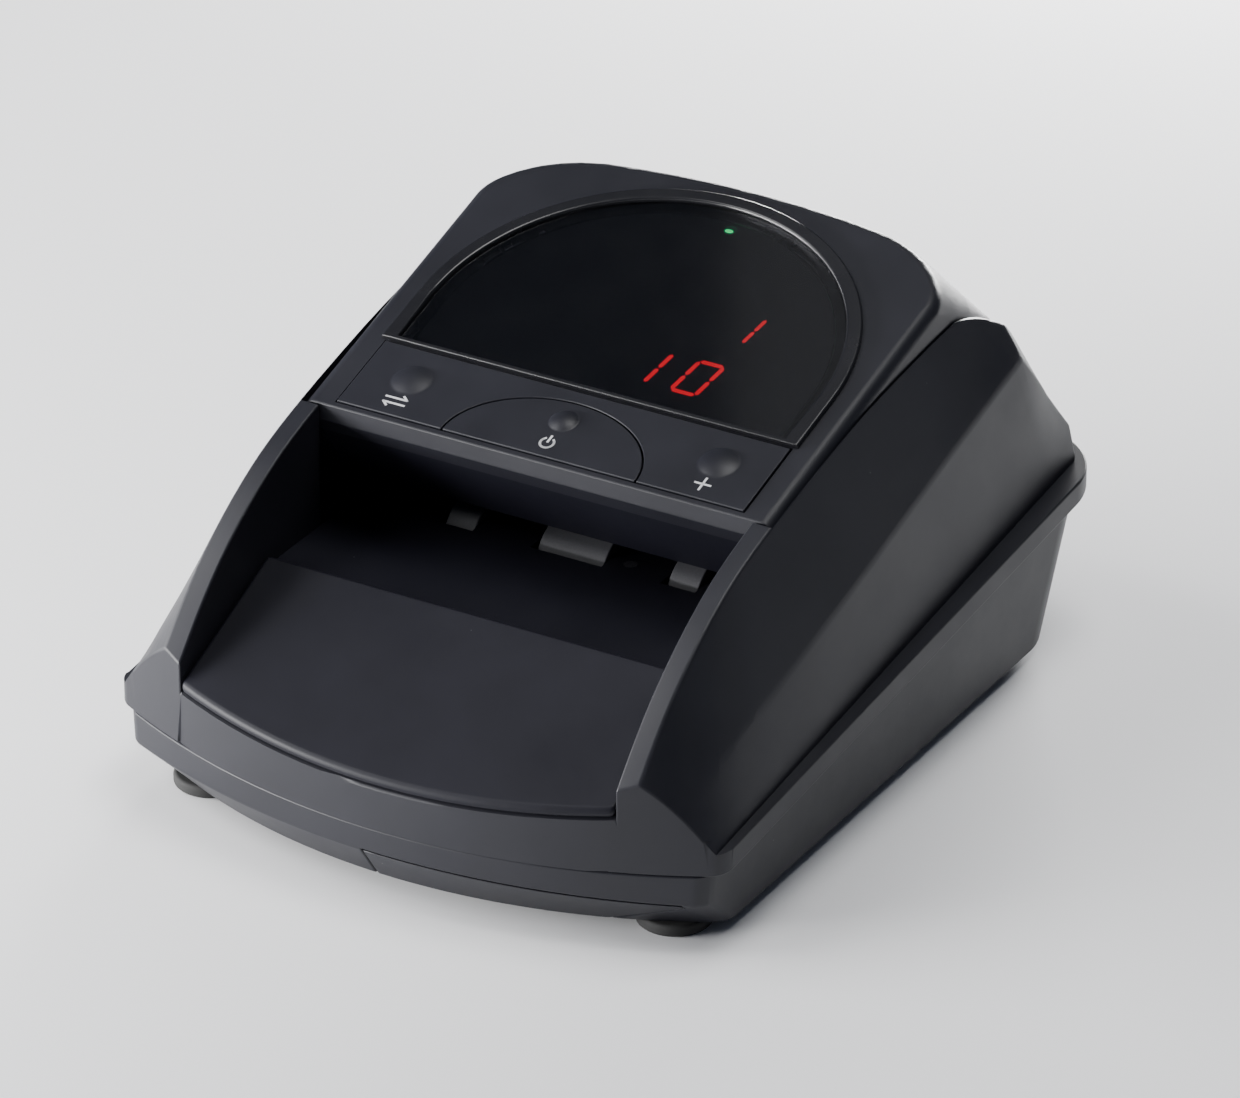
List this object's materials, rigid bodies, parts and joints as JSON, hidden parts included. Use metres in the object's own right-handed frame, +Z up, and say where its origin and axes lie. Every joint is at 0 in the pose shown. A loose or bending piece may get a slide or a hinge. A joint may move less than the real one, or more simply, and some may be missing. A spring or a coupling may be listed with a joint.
{
  "type": "banknote counting machine",
  "caption": "Compact desktop banknote counter: bow-fronted black casing, sloping feed tray, hinged hood with keys and smoked display window, roller feed and rear exit slot.",
  "frame": {"origin": "centre of the footprint on the surface the rubber feet stand on", "axes": "+Z up, -Y the front where notes go in, +X to the right seen from the front"},
  "size_m": [0.126, 0.1615, 0.0847],
  "materials": {
    "casing_plastic": "fine-grained matt black ABS",
    "tray_plastic": "fine-grained matt black ABS",
    "key_plastic": "satin dark grey ABS",
    "rim_plastic": "satin black moulding",
    "smoked_window": "smoked glossy acrylic",
    "circuit_board": "green solder mask",
    "digit_plastic": "dark red display module",
    "led_green": "clear green lamp",
    "chip_black": "moulded black plastic",
    "can_aluminium": "bare can",
    "socket_white": "white nylon",
    "plate_steel": "zinc plated sheet",
    "motor_can": "plated drawn can",
    "shaft_steel": "ground steel",
    "pulley_plastic": "natural acetal",
    "belt_rubber": "moulded belt rubber",
    "roller_rubber": "grey moulded rubber",
    "bush_brass": "sintered bronze",
    "sensor_window": "dark infrared window",
    "sensor_lens": "clear lens",
    "battery_wrap": "shrink wrap",
    "foot_rubber": "soft rubber",
    "screw_steel": "zinc plated"
  },
  "bodies": {
    "casing": {"base_pan": "casing_plastic", "upper_shell": "casing_plastic", "feed_tray": "tray_plastic", "lower_sensor_bar": "sensor_window", "entry_sensor_lens": "sensor_lens", "tray_screws": "screw_steel", "board_screws": "screw_steel", "power_jack": "chip_black", "rubber_feet": "foot_rubber", "hinge_pins": "shaft_steel", "left_side_plate": "plate_steel", "right_side_plate": "plate_steel", "shaft_bushes": "bush_brass", "drive_motor": "motor_can", "drive_belt": "belt_rubber", "main_board": "circuit_board", "processor_chips": "chip_black", "filter_capacitors": "can_aluminium", "cable_sockets": "socket_white", "battery_pack": "battery_wrap"},
    "hood": {"hood_shell": "casing_plastic", "upper_guide": "tray_plastic", "guide_screws": "screw_steel", "upper_sensor_bar": "sensor_window", "window_rim": "rim_plastic", "display_window": "smoked_window", "display_board": "circuit_board", "digit_modules": "digit_plastic", "status_led": "led_green", "tact_switches": "chip_black"},
    "rocker": {"key_rocker": "key_plastic"},
    "power_button": {"power_key": "key_plastic"},
    "door": {"battery_door": "casing_plastic"},
    "front_drive": {"front_drive_shaft": "shaft_steel", "front_drive_rollers": "roller_rubber", "front_pulley": "pulley_plastic"},
    "rear_drive": {"rear_drive_shaft": "shaft_steel", "rear_drive_rollers": "roller_rubber", "rear_pulley": "pulley_plastic"},
    "motor_rotor": {"motor_shaft": "shaft_steel", "motor_pulley": "pulley_plastic"},
    "front_pinch": {"front_pinch_axle": "shaft_steel", "front_pinch_rollers": "roller_rubber"},
    "rear_pinch": {"rear_pinch_axle": "shaft_steel", "rear_pinch_rollers": "roller_rubber"}
  },
  "joints": [
    {"name": "hood_hinge", "type": "hinge", "parent": "casing", "child": "hood", "pos_m": [0, 0.06425, 0.0465], "axis": [-1, 0, 0], "range_deg": [0, 50]},
    {"name": "key_tilt", "type": "hinge", "parent": "hood", "child": "rocker", "pos_m": [0, -0.00736, 0.0664], "axis": [0, 0.9632, 0.2689], "range_deg": [-1, 1], "stiffness_Nm_per_rad": 2.5},
    {"name": "power_press", "type": "slide", "parent": "hood", "child": "power_button", "axis": [0, 0.2689, -0.9632], "range_m": [0, 0.0008], "stiffness_N_per_m": 1500},
    {"name": "door_slide", "type": "slide", "parent": "casing", "child": "door", "axis": [0, -1, 0], "range_m": [0, 0.02]},
    {"name": "front_drive_spin", "type": "hinge", "parent": "casing", "child": "front_drive", "pos_m": [0, -0.00575, 0.0332], "axis": [1, 0, 0], "continuous": true},
    {"name": "rear_drive_spin", "type": "hinge", "parent": "casing", "child": "rear_drive", "pos_m": [0, 0.04425, 0.0332], "axis": [1, 0, 0], "continuous": true},
    {"name": "motor_spin", "type": "hinge", "parent": "casing", "child": "motor_rotor", "pos_m": [-0.05, 0.01925, 0.017], "axis": [1, 0, 0], "continuous": true},
    {"name": "front_pinch_spin", "type": "hinge", "parent": "hood", "child": "front_pinch", "pos_m": [0, -0.00575, 0.0465], "axis": [1, 0, 0], "continuous": true},
    {"name": "rear_pinch_spin", "type": "hinge", "parent": "hood", "child": "rear_pinch", "pos_m": [0, 0.04425, 0.0465], "axis": [1, 0, 0], "continuous": true}
  ],
  "couplings": [
    {"joint": "rear_drive_spin", "follows": "front_drive_spin", "ratio": 1},
    {"joint": "motor_spin", "follows": "front_drive_spin", "ratio": 2},
    {"joint": "front_pinch_spin", "follows": "front_drive_spin", "ratio": -1.6},
    {"joint": "rear_pinch_spin", "follows": "front_drive_spin", "ratio": -1.6}
  ]
}
